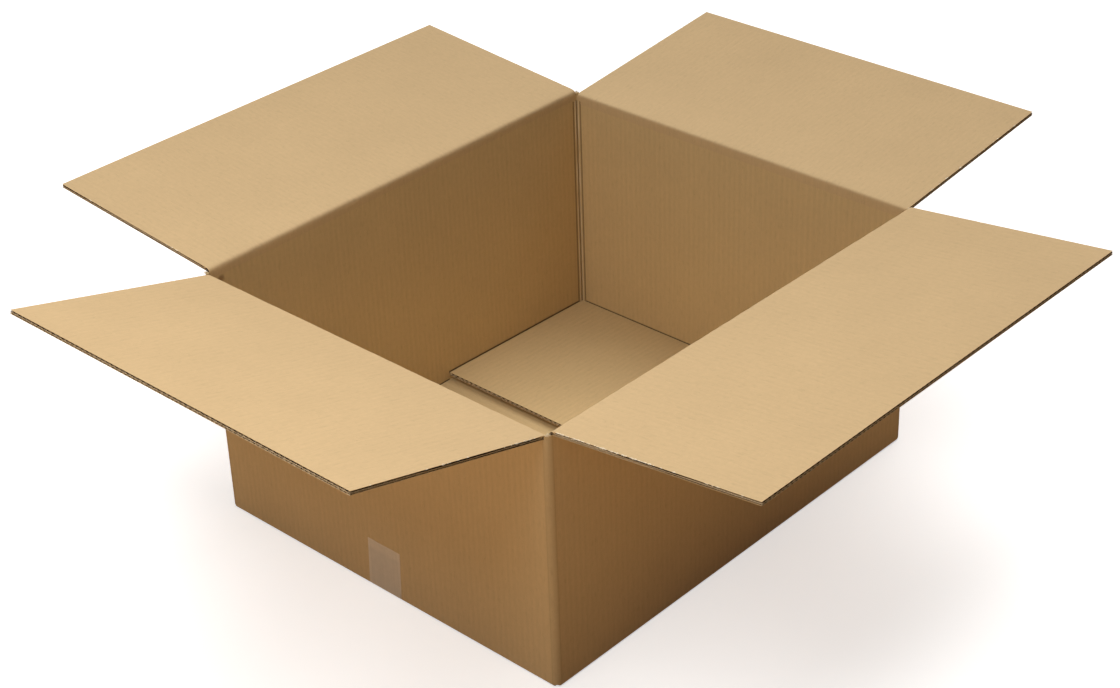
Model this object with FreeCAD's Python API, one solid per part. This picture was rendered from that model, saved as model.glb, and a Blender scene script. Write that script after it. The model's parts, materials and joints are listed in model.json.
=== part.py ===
import FreeCAD, Part
import math
import os

# Open shipping carton of double-wall corrugated board, in millimetres.
# The origin is the middle of the underside, Z up, X along the long side walls.
# One slotted, creased and glued blank makes the walls and the taped bottom.
# Four top flaps stand open, each hinged on the outer line of its crease.

Vector = FreeCAD.Vector

# Inside of the carton
inner_length = 605.0
inner_width = 507.0

# Layers of the board, from the outside face to the inside face
outer_liner = 0.3
outer_flute = 1.5
middle_liner = 0.25
inner_flute = 2.15
inner_liner = 0.3
board = outer_liner + outer_flute + middle_liner + inner_flute + inner_liner

# Outside of the carton
outer_length = inner_length + 2 * board
outer_width = inner_width + 2 * board

# Creases of the top flaps: the short flaps fold under the long ones
short_crease_height = 306.4
stack_gap = 0.4
long_crease_height = short_crease_height + board + stack_gap

# Vertical folds
fold_radius = 7.0
inner_fold_radius = 0.8

# Slots between the flaps, centred on the vertical folds
slot_width = 7.1
slot_inset = (board + slot_width) / 2
slot_side_gap = 0.3

# Top flaps
seam_gap = 0.6
flap_depth = (outer_width - seam_gap) / 2
long_flap_span = outer_length - 2 * slot_inset
short_flap_span = outer_width - 2 * slot_inset
crease_gap = 0.45

# How far each top flap stands above level, in degrees
front_flap_angle = 7.0
back_flap_angle = 4.8
left_flap_angle = 15.15
right_flap_angle = 5.9

# Flutes stand back from the cut edges of the board
flute_end_recess = 5.0
flute_side_recess = 2.0

# Bottom flaps: the long pair outside, the short pair resting on it
bottom_edge_radius = 3.0
bottom_slot_height = 3.0
bottom_end_gap = 0.8
bottom_seam_gap = 1.5
bottom_layer_gap = 0.3
bottom_flap_depth = (outer_width - bottom_seam_gap) / 2
left_bottom_flap_angle = 0.5
right_bottom_flap_angle = 1.4

# Glue tab inside the front wall, pressed flatter than the board
tab_width = 35.0
tab_thickness = 3.0
tab_foot = 30.0
tab_top_margin = 26.0
tab_end_slope = 12.0

# Packing tape under the bottom seam and up both end walls
tape_width = 50.0
tape_thickness = 0.2
tape_leg_height = 64.5
tape_offset = -1.3
tape_left_leg_lean = -3.0

# Small lengths that let solids overlap or cuts run past a face
overlap = 1.5
margin = 1.0


def block(x0, x1, y0, y1, z0, z1):
    return Part.makeBox(x1 - x0, y1 - y0, z1 - z0, Vector(x0, y0, z0))


def prism(points, run):
    """A flat outline pushed along run."""
    wire = Part.makePolygon(points + [points[0]])
    return Part.Face(wire).extrude(run)


def upright_edges(solid):
    found = []
    for edge in solid.Edges:
        ends = [vertex.Point for vertex in edge.Vertexes]
        if len(ends) == 2 and (ends[0] - ends[1]).Length > 2 * margin:
            along = (ends[1] - ends[0]).normalize()
            if abs(along.z) > 0.999:
                found.append(edge)
    return found


def lowest_edges(solid):
    return [edge for edge in solid.Edges if edge.BoundBox.ZMax < 1e-6]


def corrugated_panel(span, depth):
    """A panel with its crease along X at Y = 0 and its outside face at Z = 0.

    Three edges are cut, and there the flute layers stand back behind the
    three liners, so that the section of the board shows."""
    panel = block(-span / 2, span / 2, 0, depth, 0, board)
    first_top = outer_liner + outer_flute
    second_foot = first_top + middle_liner
    for foot, top in ((outer_liner, first_top), (second_foot, second_foot + inner_flute)):
        whole = block(-span / 2 - margin, span / 2 + margin, -margin, depth + margin, foot, top)
        core = block(
            -span / 2 + flute_side_recess,
            span / 2 - flute_side_recess,
            -margin,
            depth - flute_end_recess,
            foot,
            top,
        )
        panel = panel.cut(whole.cut(core))
    return panel


def top_flap(span):
    """A top flap lying flat outwards, its root mitred for the inward fold."""
    panel = corrugated_panel(span, flap_depth)
    root = [
        Vector(-span / 2 - margin, -margin, -margin),
        Vector(-span / 2 - margin, crease_gap - margin, -margin),
        Vector(-span / 2 - margin, crease_gap + board + margin, board + margin),
        Vector(-span / 2 - margin, -margin, board + margin),
    ]
    return panel.cut(prism(root, Vector(span + 2 * margin, 0, 0)))


def placed(shape, turn, corner):
    """Turn a panel about Z and set its crease on the given point."""
    shape = shape.copy()
    shape.rotate(Vector(0, 0, 0), Vector(0, 0, 1), turn)
    shape.translate(corner)
    return shape


def raised(shape, angle):
    """Lift a panel about its crease, which lies along X."""
    shape = shape.copy()
    shape.rotate(Vector(0, 0, 0), Vector(1, 0, 0), angle)
    return shape


def long_flap(side, angle):
    """side is -1 on the front wall and 1 on the back wall."""
    turn = 180 if side < 0 else 0
    corner = Vector(0, side * outer_width / 2, long_crease_height)
    return placed(raised(top_flap(long_flap_span), angle), turn, corner)


def short_flap(side, angle):
    """side is -1 on the left end wall and 1 on the right end wall."""
    corner = Vector(side * outer_length / 2, 0, short_crease_height)
    return placed(raised(top_flap(short_flap_span), angle), -90 * side, corner)


def wall_ring():
    """The four walls, with round folds at the corners and along the bottom."""
    outside = block(
        -outer_length / 2,
        outer_length / 2,
        -outer_width / 2,
        outer_width / 2,
        0,
        long_crease_height,
    )
    outside = outside.makeFillet(fold_radius, upright_edges(outside))
    outside = outside.makeFillet(bottom_edge_radius, lowest_edges(outside))
    inside = block(
        -inner_length / 2,
        inner_length / 2,
        -inner_width / 2,
        inner_width / 2,
        -margin,
        long_crease_height + margin,
    )
    inside = inside.makeFillet(inner_fold_radius, upright_edges(inside))
    return outside.cut(inside)


def crease_cut(span, crease_height):
    """What the fold line takes off a wall along X whose outside face is Y = 0."""
    top = long_crease_height + margin
    outline = [
        Vector(-span / 2, margin, crease_height + margin),
        Vector(-span / 2, -board - margin, crease_height - board - margin),
        Vector(-span / 2, -board - margin, top + margin),
        Vector(-span / 2, margin, top + margin),
    ]
    return prism(outline, Vector(span, 0, 0))


def rim_cuts():
    """The mitred rims under the top flaps, and the slots at the four bottom corners.

    The top slots end level with the long creases, so a post stands at each corner."""
    long_cut = crease_cut(long_flap_span + 2 * slot_side_gap, long_crease_height)
    short_cut = crease_cut(short_flap_span + 2 * slot_side_gap, short_crease_height)
    cuts = []
    for side in (-1, 1):
        turn = 180 if side < 0 else 0
        cuts.append(placed(long_cut, turn, Vector(0, side * outer_width / 2, 0)))
        cuts.append(placed(short_cut, -90 * side, Vector(side * outer_length / 2, 0, 0)))
    reach = slot_inset - slot_side_gap
    for side_x in (-1, 1):
        for side_y in (-1, 1):
            x = side_x * outer_length / 2
            y = side_y * outer_width / 2
            x0, x1 = sorted((x + side_x * margin, x - side_x * reach))
            y0, y1 = sorted((y + side_y * margin, y - side_y * reach))
            cuts.append(block(x0, x1, y0, y1, -margin, bottom_slot_height))
    return cuts


def long_bottom_flap(side):
    """An outer bottom flap, which runs on from the round of its wall's bottom edge."""
    span = inner_length - 2 * bottom_end_gap
    panel = corrugated_panel(span, bottom_flap_depth)
    root = block(
        -span / 2 - margin,
        span / 2 + margin,
        -margin,
        bottom_edge_radius,
        -margin,
        board + margin,
    )
    panel = panel.cut(root)
    turn = 0 if side < 0 else 180
    return placed(panel, turn, Vector(0, side * outer_width / 2, 0))


def short_bottom_flap(side, angle):
    """An inner bottom flap, which springs up a little from its fold."""
    panel = corrugated_panel(short_flap_span, bottom_flap_depth - board + overlap)
    panel.translate(Vector(0, -overlap, 0))
    panel = raised(panel, angle)
    corner = Vector(side * inner_length / 2, 0, board + bottom_layer_gap)
    return placed(panel, 90 * side, corner)


def glue_tab():
    """The right end wall's tab, glued to the inside of the front wall."""
    foot = tab_foot
    top = short_crease_height - tab_top_margin
    root = inner_length / 2 + overlap
    tip = inner_length / 2 - tab_width
    back = -inner_width / 2 - overlap
    outline = [
        Vector(root, back, foot),
        Vector(tip, back, foot + tab_end_slope),
        Vector(tip, back, top - tab_end_slope),
        Vector(root, back, top),
    ]
    return prism(outline, Vector(0, overlap + tab_thickness, 0))


def tape_band():
    """The tape's run under the seam, bent up round both bottom edges."""
    y = tape_offset - tape_width / 2
    x = outer_length / 2
    bend = bottom_edge_radius
    rise = bend + tape_thickness
    half = math.sqrt(0.5)
    centre = x - bend

    def arc(side, radius):
        start = Vector(side * centre, y, rise - radius)
        middle = Vector(side * (centre + half * radius), y, rise - half * radius)
        end = Vector(side * (centre + radius), y, rise)
        return Part.Arc(start, middle, end).toShape()

    outer = bend + tape_thickness
    edges = [
        Part.LineSegment(Vector(-centre, y, 0), Vector(centre, y, 0)).toShape(),
        arc(1, outer),
        Part.LineSegment(Vector(x + tape_thickness, y, rise), Vector(x, y, rise)).toShape(),
        arc(1, bend),
        Part.LineSegment(Vector(centre, y, tape_thickness), Vector(-centre, y, tape_thickness)).toShape(),
        arc(-1, bend),
        Part.LineSegment(Vector(-x, y, rise), Vector(-x - tape_thickness, y, rise)).toShape(),
        arc(-1, outer),
    ]
    wire = Part.Wire(Part.__sortEdges__(edges))
    return Part.Face(wire).extrude(Vector(0, tape_width, 0))


def tape_leg(side, lean):
    """The tape's end on an end wall, from the bend up to its torn edge."""
    foot = bottom_edge_radius + tape_thickness
    x = side * outer_length / 2
    outline = [
        Vector(x, tape_offset - tape_width / 2, foot),
        Vector(x, tape_offset + tape_width / 2, foot),
        Vector(x, tape_offset + lean + tape_width / 2, tape_leg_height),
        Vector(x, tape_offset + lean - tape_width / 2, tape_leg_height),
    ]
    return prism(outline, Vector(side * tape_thickness, 0, 0))


def bottom_tape():
    band = tape_band()
    return band.fuse([tape_leg(-1, tape_left_leg_lean), tape_leg(1, 0)]).removeSplitter()


def carton_body(tape):
    """Walls, glue tab and folded bottom in one piece, pressed in under the tape."""
    body = wall_ring().cut(rim_cuts())
    flaps = [long_bottom_flap(-1), long_bottom_flap(1)]
    flaps.append(short_bottom_flap(-1, left_bottom_flap_angle))
    flaps.append(short_bottom_flap(1, right_bottom_flap_angle))
    flaps.append(glue_tab())
    body = body.fuse(flaps)
    return body.cut(tape).removeSplitter()


def main():
    os.makedirs("parts", exist_ok=True)
    tape = bottom_tape()
    shapes = {
        "carton_body": carton_body(tape),
        "bottom_tape": tape,
        "flap_front": long_flap(-1, front_flap_angle),
        "flap_back": long_flap(1, back_flap_angle),
        "flap_left": short_flap(-1, left_flap_angle),
        "flap_right": short_flap(1, right_flap_angle),
    }
    for name, shape in shapes.items():
        solids = shape.Solids
        print(name, "solids", len(solids), "valid", shape.isValid(), "volume", round(shape.Volume))
        whole = solids[0] if len(solids) == 1 else Part.makeCompound(solids)
        whole.exportStep("parts/" + name + ".step")


main()
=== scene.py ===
import json
import math
import random

import bmesh
import bpy
from mathutils import Matrix, Vector, noise


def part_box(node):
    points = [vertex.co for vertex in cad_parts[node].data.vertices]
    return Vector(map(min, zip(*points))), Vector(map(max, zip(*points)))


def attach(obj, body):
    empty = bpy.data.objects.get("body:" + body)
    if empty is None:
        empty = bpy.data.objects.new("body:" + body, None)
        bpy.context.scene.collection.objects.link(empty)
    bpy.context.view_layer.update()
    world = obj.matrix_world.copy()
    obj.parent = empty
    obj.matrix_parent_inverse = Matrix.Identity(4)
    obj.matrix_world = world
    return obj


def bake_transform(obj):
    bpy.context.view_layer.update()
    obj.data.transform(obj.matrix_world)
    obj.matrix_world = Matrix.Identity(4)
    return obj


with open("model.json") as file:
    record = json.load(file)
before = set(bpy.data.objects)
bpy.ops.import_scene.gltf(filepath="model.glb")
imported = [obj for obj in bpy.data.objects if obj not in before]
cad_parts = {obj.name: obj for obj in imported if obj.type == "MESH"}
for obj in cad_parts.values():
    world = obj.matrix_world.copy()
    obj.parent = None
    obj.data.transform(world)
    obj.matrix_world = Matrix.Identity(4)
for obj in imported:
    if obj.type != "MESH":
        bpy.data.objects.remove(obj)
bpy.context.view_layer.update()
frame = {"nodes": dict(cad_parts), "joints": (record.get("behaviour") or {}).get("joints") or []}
body_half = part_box("carton_body")[1]

bl_info = {
    "name": "Open shipping carton",
    "version": (1, 0, 0),
    "blender": (4, 5, 0),
    "location": "3D View > Sidebar > Carton",
    "description": "Dresses a folded double-wall carton with flutes, creases, torn paper, tape and a studio",
    "category": "Object",
}

# Lengths are in metres. Up is Z, and the long walls run along X.
UP = Vector((0, 0, 1))
MILLIMETRE = 0.001

# The bottom's inner flaps: their fold line stands this far in from the outside of the end walls
# and this far above the outer bottom flaps, and they spring up from it
INNER_FLAP_GAP = 0.3 * MILLIMETRE
LEFT_INNER_LIFT = 0.5
RIGHT_INNER_LIFT = 1.4
INNER_FLAP_DEPTH = 252.75 * MILLIMETRE

# How far each top crease fills the corner between wall and flap: the long flaps' are crushed flat
FOLD_FULLNESS = {"front": 0.9, "back": 1.8, "left": 5.0, "right": 2.6}

# The brown stain inside the back wall, near the top of its left end
STAIN_PLACE = (-0.2865, 0.2535, 0.2975)
STAIN_RADIUS = 6.0 * MILLIMETRE
STAIN_STRENGTH = 0.6
STAIN_COLOUR = (0.17, 0.07, 0.03)

# Fine marks in the paper, and the painted shade of the score grooves and of the inner corner grooves
SPECK_COLOUR = (0.22, 0.13, 0.06)
PALE_FIBRE_COLOUR = (0.86, 0.70, 0.47)
SCORE_SHADE_COLOUR = (0.20, 0.12, 0.05)
PAINTED_GROOVE_SHADE = (0.10, 0.05, 0.02)

# Torn liner along the flaps' side edges: side, how many bits, and from where to where from the crease
TEARS = {
    "front": ((1, 70, 0.003, 0.13), (1, 7, 0.11, 0.24), (-1, 6, 0.02, 0.24)),
    "back": ((-1, 6, 0.02, 0.24), (1, 8, 0.005, 0.24)),
    "left": ((-1, 10, 0.012, 0.04), (-1, 12, 0.03, 0.24), (1, 5, 0.02, 0.24)),
    "right": ((-1, 5, 0.02, 0.24), (1, 16, 0.004, 0.24)),
}

# Camera: where it stands, its own right and down directions, and its lens
CAMERA_PLACE = (-1.60022, -1.50148, 1.48858)
CAMERA_RIGHT = (0.673194, -0.738824, -0.030792)
CAMERA_DOWN = (-0.397280, -0.326239, -0.857752)
CAMERA_LENS = 71.503
CAMERA_SENSOR = 36.0


def length_property(name, description, value):
    return bpy.props.FloatProperty(
        name=name, description=description, default=value, min=0.0, unit="LENGTH", precision=5
    )


def colour_property(name, description, value):
    return bpy.props.FloatVectorProperty(
        name=name, description=description, default=value, size=3, min=0.0, max=1.0, subtype="COLOR"
    )


class BoardSizes(bpy.types.PropertyGroup):
    """Layers and folds of the double-wall board."""

    outer_liner: length_property("Outer liner", "Paper on the outside face", 0.3 * MILLIMETRE)
    outer_flute: length_property("Outer flute", "Height of the fine flute layer", 1.5 * MILLIMETRE)
    middle_liner: length_property("Middle liner", "Paper between the flute layers", 0.25 * MILLIMETRE)
    inner_flute: length_property("Inner flute", "Height of the coarse flute layer", 2.15 * MILLIMETRE)
    inner_liner: length_property("Inner liner", "Paper on the inside face", 0.3 * MILLIMETRE)
    outer_pitch: length_property("Fine pitch", "From one fine flute to the next", 6.5 * MILLIMETRE)
    inner_pitch: length_property("Coarse pitch", "From one coarse flute to the next", 7.95 * MILLIMETRE)
    medium: length_property("Medium", "Thickness of the fluted paper", 0.2 * MILLIMETRE)
    end_recess: length_property("End recess", "How deep the flutes show at a free edge", 5.0 * MILLIMETRE)
    side_recess: length_property("Side recess", "How deep they show along a side edge", 2.0 * MILLIMETRE)
    slant: bpy.props.FloatProperty(
        name="Slant", description="How far the flutes run off the side edges", default=0.028
    )
    fold_overlap: length_property("Fold overlap", "Where a fold's paper runs onto a panel", 6.0 * MILLIMETRE)


class PaperColours(bpy.types.PropertyGroup):
    """Colours of the papers and the film."""

    kraft: colour_property("Kraft", "Unbleached liner paper", (0.60, 0.42, 0.222))
    lining: colour_property("Lining", "Kraft paper inside the walls", (0.62, 0.443, 0.222))
    medium: colour_property("Medium", "Fluted paper inside the board", (0.46, 0.31, 0.165))
    torn: colour_property("Torn fibres", "Paper torn open at the cut edges", (0.84, 0.73, 0.55))
    crushed: colour_property("Crushed", "Liner crushed at the cut edges", (0.60, 0.46, 0.30))
    # Painted shade: the dark inside the flute tunnels
    tunnel_shade: colour_property("Tunnels", "The dark inside the flutes", (0.035, 0.02, 0.01))
    film: colour_property("Tape", "Clear film over kraft", (0.54, 0.415, 0.28))
    floor: colour_property("Floor", "Pale studio floor", (0.86, 0.86, 0.86))
    bounce: colour_property("Bounce", "Warm light that the floor returns", (0.74, 0.52, 0.29))


class StudioSettings(bpy.types.PropertyGroup):
    """Lamps and floor."""

    overhead: bpy.props.FloatProperty(name="Overhead", description="Wide distant light", default=2.2)
    spread: bpy.props.FloatProperty(
        name="Spread", description="Width of the distant light", default=math.radians(50), subtype="ANGLE"
    )
    key_power: bpy.props.FloatProperty(name="Key lamp", description="Power in watts", default=11.5)
    key_size: length_property("Key size", "Side of the near soft light", 1.0)
    fill_power: bpy.props.FloatProperty(name="Fill lamp", description="Power in watts", default=5.2)
    fill_size: length_property("Fill size", "Side of the low light", 0.6)
    sky: bpy.props.FloatProperty(name="Sky", description="Strength of the even light", default=0.085)
    floor_size: length_property("Floor size", "Side of the studio floor", 14.0)
    floor_glow: bpy.props.FloatProperty(
        name="Floor glow", description="White added to the floor as the camera sees it", default=0.60
    )


def board():
    return bpy.context.scene.carton_board


def colours():
    return bpy.context.scene.carton_colours


def studio():
    return bpy.context.scene.carton_studio


# Node helpers, for materials and for Geometry Nodes


def add_node(tree, kind, feeds=(), **settings):
    """Add a node, apply its settings, and feed its sockets with values or other outputs."""
    node = tree.nodes.new(kind)
    for name, value in settings.items():
        setattr(node, name, value)
    for key, value in dict(feeds).items():
        if isinstance(value, bpy.types.NodeSocket):
            tree.links.new(value, node.inputs[key])
        else:
            node.inputs[key].default_value = value
    return node


def maths(tree, operation, first, second=0.0, third=0.0):
    feeds = {0: first, 1: second, 2: third}
    return add_node(tree, "ShaderNodeMath", feeds, operation=operation).outputs[0]


def times(tree, first, second):
    return maths(tree, "MULTIPLY", first, second)


def minus(tree, first, second):
    return maths(tree, "SUBTRACT", first, second)


def size_of(tree, value):
    return maths(tree, "ABSOLUTE", value)


def larger(tree, first, second):
    return maths(tree, "MAXIMUM", first, second)


def joined_vector(tree, x, y, z=0.0):
    return add_node(tree, "ShaderNodeCombineXYZ", {0: x, 1: y, 2: z}).outputs[0]


def cloud(tree, vector, scale, detail=2.0, roughness=0.5):
    feeds = {"Vector": vector, "Scale": scale, "Detail": detail, "Roughness": roughness}
    return add_node(tree, "ShaderNodeTexNoise", feeds).outputs["Fac"]


def ramp(tree, value, low, high, to_low=0.0, to_high=1.0):
    """Map value from low..high to to_low..to_high, held at both ends."""
    feeds = {"Value": value, "From Min": low, "From Max": high, "To Min": to_low, "To Max": to_high}
    return add_node(tree, "ShaderNodeMapRange", feeds, clamp=True).outputs[0]


def blended(tree, share, first, second):
    """Mix two colours."""
    node = add_node(tree, "ShaderNodeMix", data_type="RGBA")
    for socket, value in ((node.inputs[0], share), (node.inputs[6], first), (node.inputs[7], second)):
        if isinstance(value, bpy.types.NodeSocket):
            tree.links.new(value, socket)
        elif socket.type == "RGBA":
            socket.default_value = (*value, 1.0)
        else:
            socket.default_value = value
    return node.outputs[2]


def streaked(tree, across, along, across_scale, along_scale, detail=1.0, offset=0.0):
    """Clouds drawn out by scaling the two directions of the paper apart."""
    wide = times(tree, across, across_scale)
    long = times(tree, along, along_scale)
    return cloud(tree, joined_vector(tree, wide, long, offset), 1.0, detail)


def toned(tree, colour, tone):
    """A colour times a tone."""
    feeds = {0: colour, "Scale": tone}
    return add_node(tree, "ShaderNodeVectorMath", feeds, operation="SCALE").outputs[0]


def seen_directly(tree):
    """1 for camera rays and for what they see in reflections or through clear film."""
    path = add_node(tree, "ShaderNodeLightPath")
    seen = larger(tree, path.outputs["Is Camera Ray"], path.outputs["Is Glossy Ray"])
    return larger(tree, seen, path.outputs["Is Transmission Ray"])


# Materials


def paper_material(name):
    """An empty material with its Principled shader, ready for nodes."""
    material = bpy.data.materials.new(name)
    material.use_nodes = True
    tree = material.node_tree
    shader = tree.nodes["Principled BSDF"]
    shader.inputs["Specular IOR Level"].default_value = 0.22
    return material, tree, shader


def finish(tree, shader, colour, height, roughness):
    """Give the shader its colour, its roughness and its bumps."""
    tree.links.new(colour, shader.inputs["Base Color"])
    shader.inputs["Roughness"].default_value = roughness
    bump = add_node(tree, "ShaderNodeBump", {"Height": height, "Strength": 1.0, "Distance": 1.0})
    tree.links.new(bump.outputs[0], shader.inputs["Normal"])


def across_the_flutes(tree, x, y, z, normal, run):
    """The coordinate that counts flutes: X or Y on a flap, and by wall on the folded body."""
    if run == "X":
        return x
    if run == "Y":
        return y
    end_wall = maths(tree, "GREATER_THAN", size_of(tree, normal.outputs[0]), 0.7)
    level = maths(tree, "GREATER_THAN", size_of(tree, normal.outputs[2]), 0.7)
    off_middle = maths(tree, "GREATER_THAN", size_of(tree, x), 50.5 * MILLIMETRE)
    above_outer = maths(tree, "GREATER_THAN", z, BOARD_THICKNESS + INNER_FLAP_GAP / 2)
    inner_flap = times(tree, times(tree, level, off_middle), above_outer)
    share = larger(tree, end_wall, inner_flap)
    difference = minus(tree, y, x)
    return maths(tree, "MULTIPLY_ADD", share, difference, x)


def kraft_pattern(tree, run):
    """Washboard lines, clouds, streaks and fibres of kraft paper.

    Returns a tone factor, two masks of dark specks and pale fibres, a height, the place and the normal."""
    coordinates = add_node(tree, "ShaderNodeTexCoord")
    place = add_node(tree, "ShaderNodeSeparateXYZ", {0: coordinates.outputs["Object"]})
    normal = add_node(tree, "ShaderNodeSeparateXYZ", {0: coordinates.outputs["Normal"]})
    x, y, z = place.outputs
    across = across_the_flutes(tree, x, y, z, normal, run)
    total = maths(tree, "ADD", maths(tree, "ADD", x, y), z)
    along = minus(tree, total, across)

    slow = cloud(tree, joined_vector(tree, times(tree, across, 34.0), along), 1.0, 1.0)
    phase = times(tree, across, 2 * math.pi / board().inner_pitch)
    phase = maths(tree, "MULTIPLY_ADD", slow, 2.2, phase)
    ridges = maths(tree, "SINE", phase)
    strength = streaked(tree, across, along, 55.0, 9.0, 2.0, 3.0)
    ridges = times(tree, ridges, ramp(tree, strength, 0.35, 0.65, 0.25, 1.0))
    streaks = streaked(tree, across, along, 560.0, 55.0, 2.0)
    formation = cloud(tree, coordinates.outputs["Object"], 210.0, 3.0, 0.6)
    mottle = cloud(tree, coordinates.outputs["Object"], 11.0, 2.0)
    grain = cloud(tree, coordinates.outputs["Object"], 1900.0, 2.0)
    dashes = streaked(tree, across, along, 430.0, 80.0, offset=9.0)

    # The washboard lines are a small bump and a tone along the flutes; the tone is painted shade of the
    # ripples.
    tone = maths(tree, "MULTIPLY_ADD", ridges, 0.028 if run == "WALLS" else 0.012, 1.0)
    tone = maths(tree, "MULTIPLY_ADD", ramp(tree, dashes, 0.60, 0.72), -0.06, tone)
    for value, amount in ((streaks, 0.10), (formation, 0.12), (mottle, 0.10), (grain, 0.10)):
        centred = minus(tree, value, 0.5)
        tone = maths(tree, "MULTIPLY_ADD", centred, amount, tone)

    specks = ramp(tree, streaked(tree, across, along, 900.0, 330.0), 0.73, 0.78)
    pale = ramp(tree, streaked(tree, across, along, 380.0, 1000.0, offset=5.0), 0.72, 0.78)

    height = times(tree, ridges, 0.03 * MILLIMETRE)
    height = maths(tree, "MULTIPLY_ADD", streaks, 0.035 * MILLIMETRE, height)
    height = maths(tree, "MULTIPLY_ADD", grain, 0.03 * MILLIMETRE, height)
    return tone, specks, pale, height, (x, y, z), normal


def tunnel_shade_mask(tree, place, normal, panel):
    """Where a flap's core stands back behind the liners: there the dark inside of the flutes is painted
    shade.
    """
    across = 0 if abs(panel.across.x) > 0.5 else 1
    along = 1 - across
    sign = 1.0 if panel.along[along] > 0 else -1.0
    side_limit = panel.half_span - board().side_recess / 2
    inside_side = maths(tree, "LESS_THAN", size_of(tree, place[across]), side_limit)
    faces_side = maths(tree, "GREATER_THAN", size_of(tree, normal.outputs[across]), 0.7)
    side = times(tree, inside_side, faces_side)
    limit = abs(panel.at(0, panel.depth, panel.thickness / 2)[along]) - board().end_recess / 2
    inside_end = maths(tree, "LESS_THAN", times(tree, place[along], sign), limit)
    outwards = times(tree, normal.outputs[along], sign)
    end = times(tree, inside_end, maths(tree, "GREATER_THAN", outwards, 0.7))
    return larger(tree, side, end)


def fold_layer_shade(tree, place, normal, panel):
    """The two crushed flute layers at the ends of a crease, as rings round its fold line that take the
    painted shade of the flute tunnels.
    """
    sizes = board()
    across = 0 if panel.run == "X" else 1
    along = 1 - across
    inset = minus(tree, size_of(tree, place[along]), abs(panel.pivot[along]))
    rise = minus(tree, place[2], panel.pivot.z)
    squares = maths(tree, "ADD", times(tree, inset, inset), times(tree, rise, rise))
    radius = maths(tree, "SQRT", squares)
    outer_top = sizes.outer_liner + sizes.outer_flute
    inner_foot = outer_top + sizes.middle_liner
    rings = []
    for low, high in ((sizes.outer_liner, outer_top), (inner_foot, inner_foot + 0.8 * sizes.inner_flute)):
        above = maths(tree, "GREATER_THAN", radius, low)
        rings.append(times(tree, above, maths(tree, "LESS_THAN", radius, high)))
    ends = maths(tree, "GREATER_THAN", size_of(tree, normal.outputs[across]), 0.7)
    return times(tree, larger(tree, *rings), ends)


def score_shade_lines(tree, place):
    """Thin dark lines where the four vertical folds meet the walls: painted shade of the score grooves there.
    """
    fold = 7.0 * MILLIMETRE
    skin = 1.0 * MILLIMETRE
    lines = []
    for axis, other in ((0, 1), (1, 0)):
        distance = minus(tree, size_of(tree, place[axis]), body_half[axis] - fold)
        near = ramp(tree, size_of(tree, distance), 0.3 * MILLIMETRE, 0.9 * MILLIMETRE, 1.0, 0.0)
        size = size_of(tree, place[other])
        outside = maths(tree, "GREATER_THAN", size, body_half[other] - skin)
        lines.append(times(tree, near, outside))
    return larger(tree, *lines)


def within(tree, value, limit):
    """1 where the size of value is under limit."""
    return maths(tree, "LESS_THAN", size_of(tree, value), limit)


def outside_of(tree, value, limit):
    """1 where the size of value is over limit."""
    return minus(tree, 1.0, within(tree, value, limit))


def bottom_top(tree, x):
    """Height of the bottom's top face at x: the right inner flap's, or the outer flaps'."""
    wall = body_half.x - BOARD_THICKNESS
    reach = minus(tree, wall, x)
    spring = times(tree, reach, math.tan(math.radians(RIGHT_INNER_LIFT)))
    flap_top = maths(tree, "ADD", spring, 2 * BOARD_THICKNESS + INNER_FLAP_GAP)
    on_flap = maths(tree, "GREATER_THAN", x, wall - INNER_FLAP_DEPTH)
    lift = minus(tree, flap_top, BOARD_THICKNESS)
    return maths(tree, "MULTIPLY_ADD", on_flap, lift, BOARD_THICKNESS)


def painted_wall_shade(tree, place):
    """Painted shade on the folded body: darker outer vertical folds, a darker foot where it touches down, and
    dark lines inside where the walls meet the bottom.
    """
    x, y, z = place
    fold = 6.5 * MILLIMETRE
    margin = BOARD_THICKNESS + 0.6 * MILLIMETRE
    at_x = outside_of(tree, x, body_half.x - fold)
    at_y = outside_of(tree, y, body_half.y - fold)
    # Painted shade: the outer vertical folds are darkened
    folds = maths(tree, "MULTIPLY_ADD", times(tree, at_x, at_y), -0.13, 1.0)
    # Painted shade: a contact shadow along the lowest 2.6 mm of the body
    foot = ramp(tree, z, 0.0, 2.6 * MILLIMETRE, 0.45, 1.0)
    # Painted shade: a dark line on the inside faces of the walls where they meet the bottom
    over = size_of(tree, minus(tree, z, bottom_top(tree, x)))
    line = ramp(tree, over, 0.7 * MILLIMETRE, 2.2 * MILLIMETRE, 0.28, 1.0)
    end_wall = outside_of(tree, x, body_half.x - margin)
    side_wall = outside_of(tree, y, body_half.y - margin)
    share = times(tree, larger(tree, end_wall, side_wall), inside_mask(tree, place))
    line = maths(tree, "MULTIPLY_ADD", share, minus(tree, line, 1.0), 1.0)
    return times(tree, times(tree, folds, foot), line)


def inside_mask(tree, place):
    """1 on the inside faces of the walls and on the bottom."""
    depth = BOARD_THICKNESS / 2
    inside_x = within(tree, place[0], body_half.x - depth)
    inside_y = within(tree, place[1], body_half.y - depth)
    return times(tree, inside_x, inside_y)


def stained(tree, colour):
    """Add the brown stain inside the back wall."""
    coordinates = add_node(tree, "ShaderNodeTexCoord").outputs["Object"]
    wobble = add_node(tree, "ShaderNodeTexNoise", {"Vector": coordinates, "Scale": 260.0, "Detail": 3.0})
    feeds = {0: coordinates, 1: STAIN_PLACE}
    apart = add_node(tree, "ShaderNodeVectorMath", feeds, operation="DISTANCE")
    ragged = maths(tree, "ADD", wobble.outputs["Fac"], 0.5)
    distance = times(tree, apart.outputs["Value"], ragged)
    share = ramp(tree, distance, 0.35 * STAIN_RADIUS, STAIN_RADIUS, STAIN_STRENGTH, 0.0)
    return blended(tree, share, colour, STAIN_COLOUR)


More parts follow.
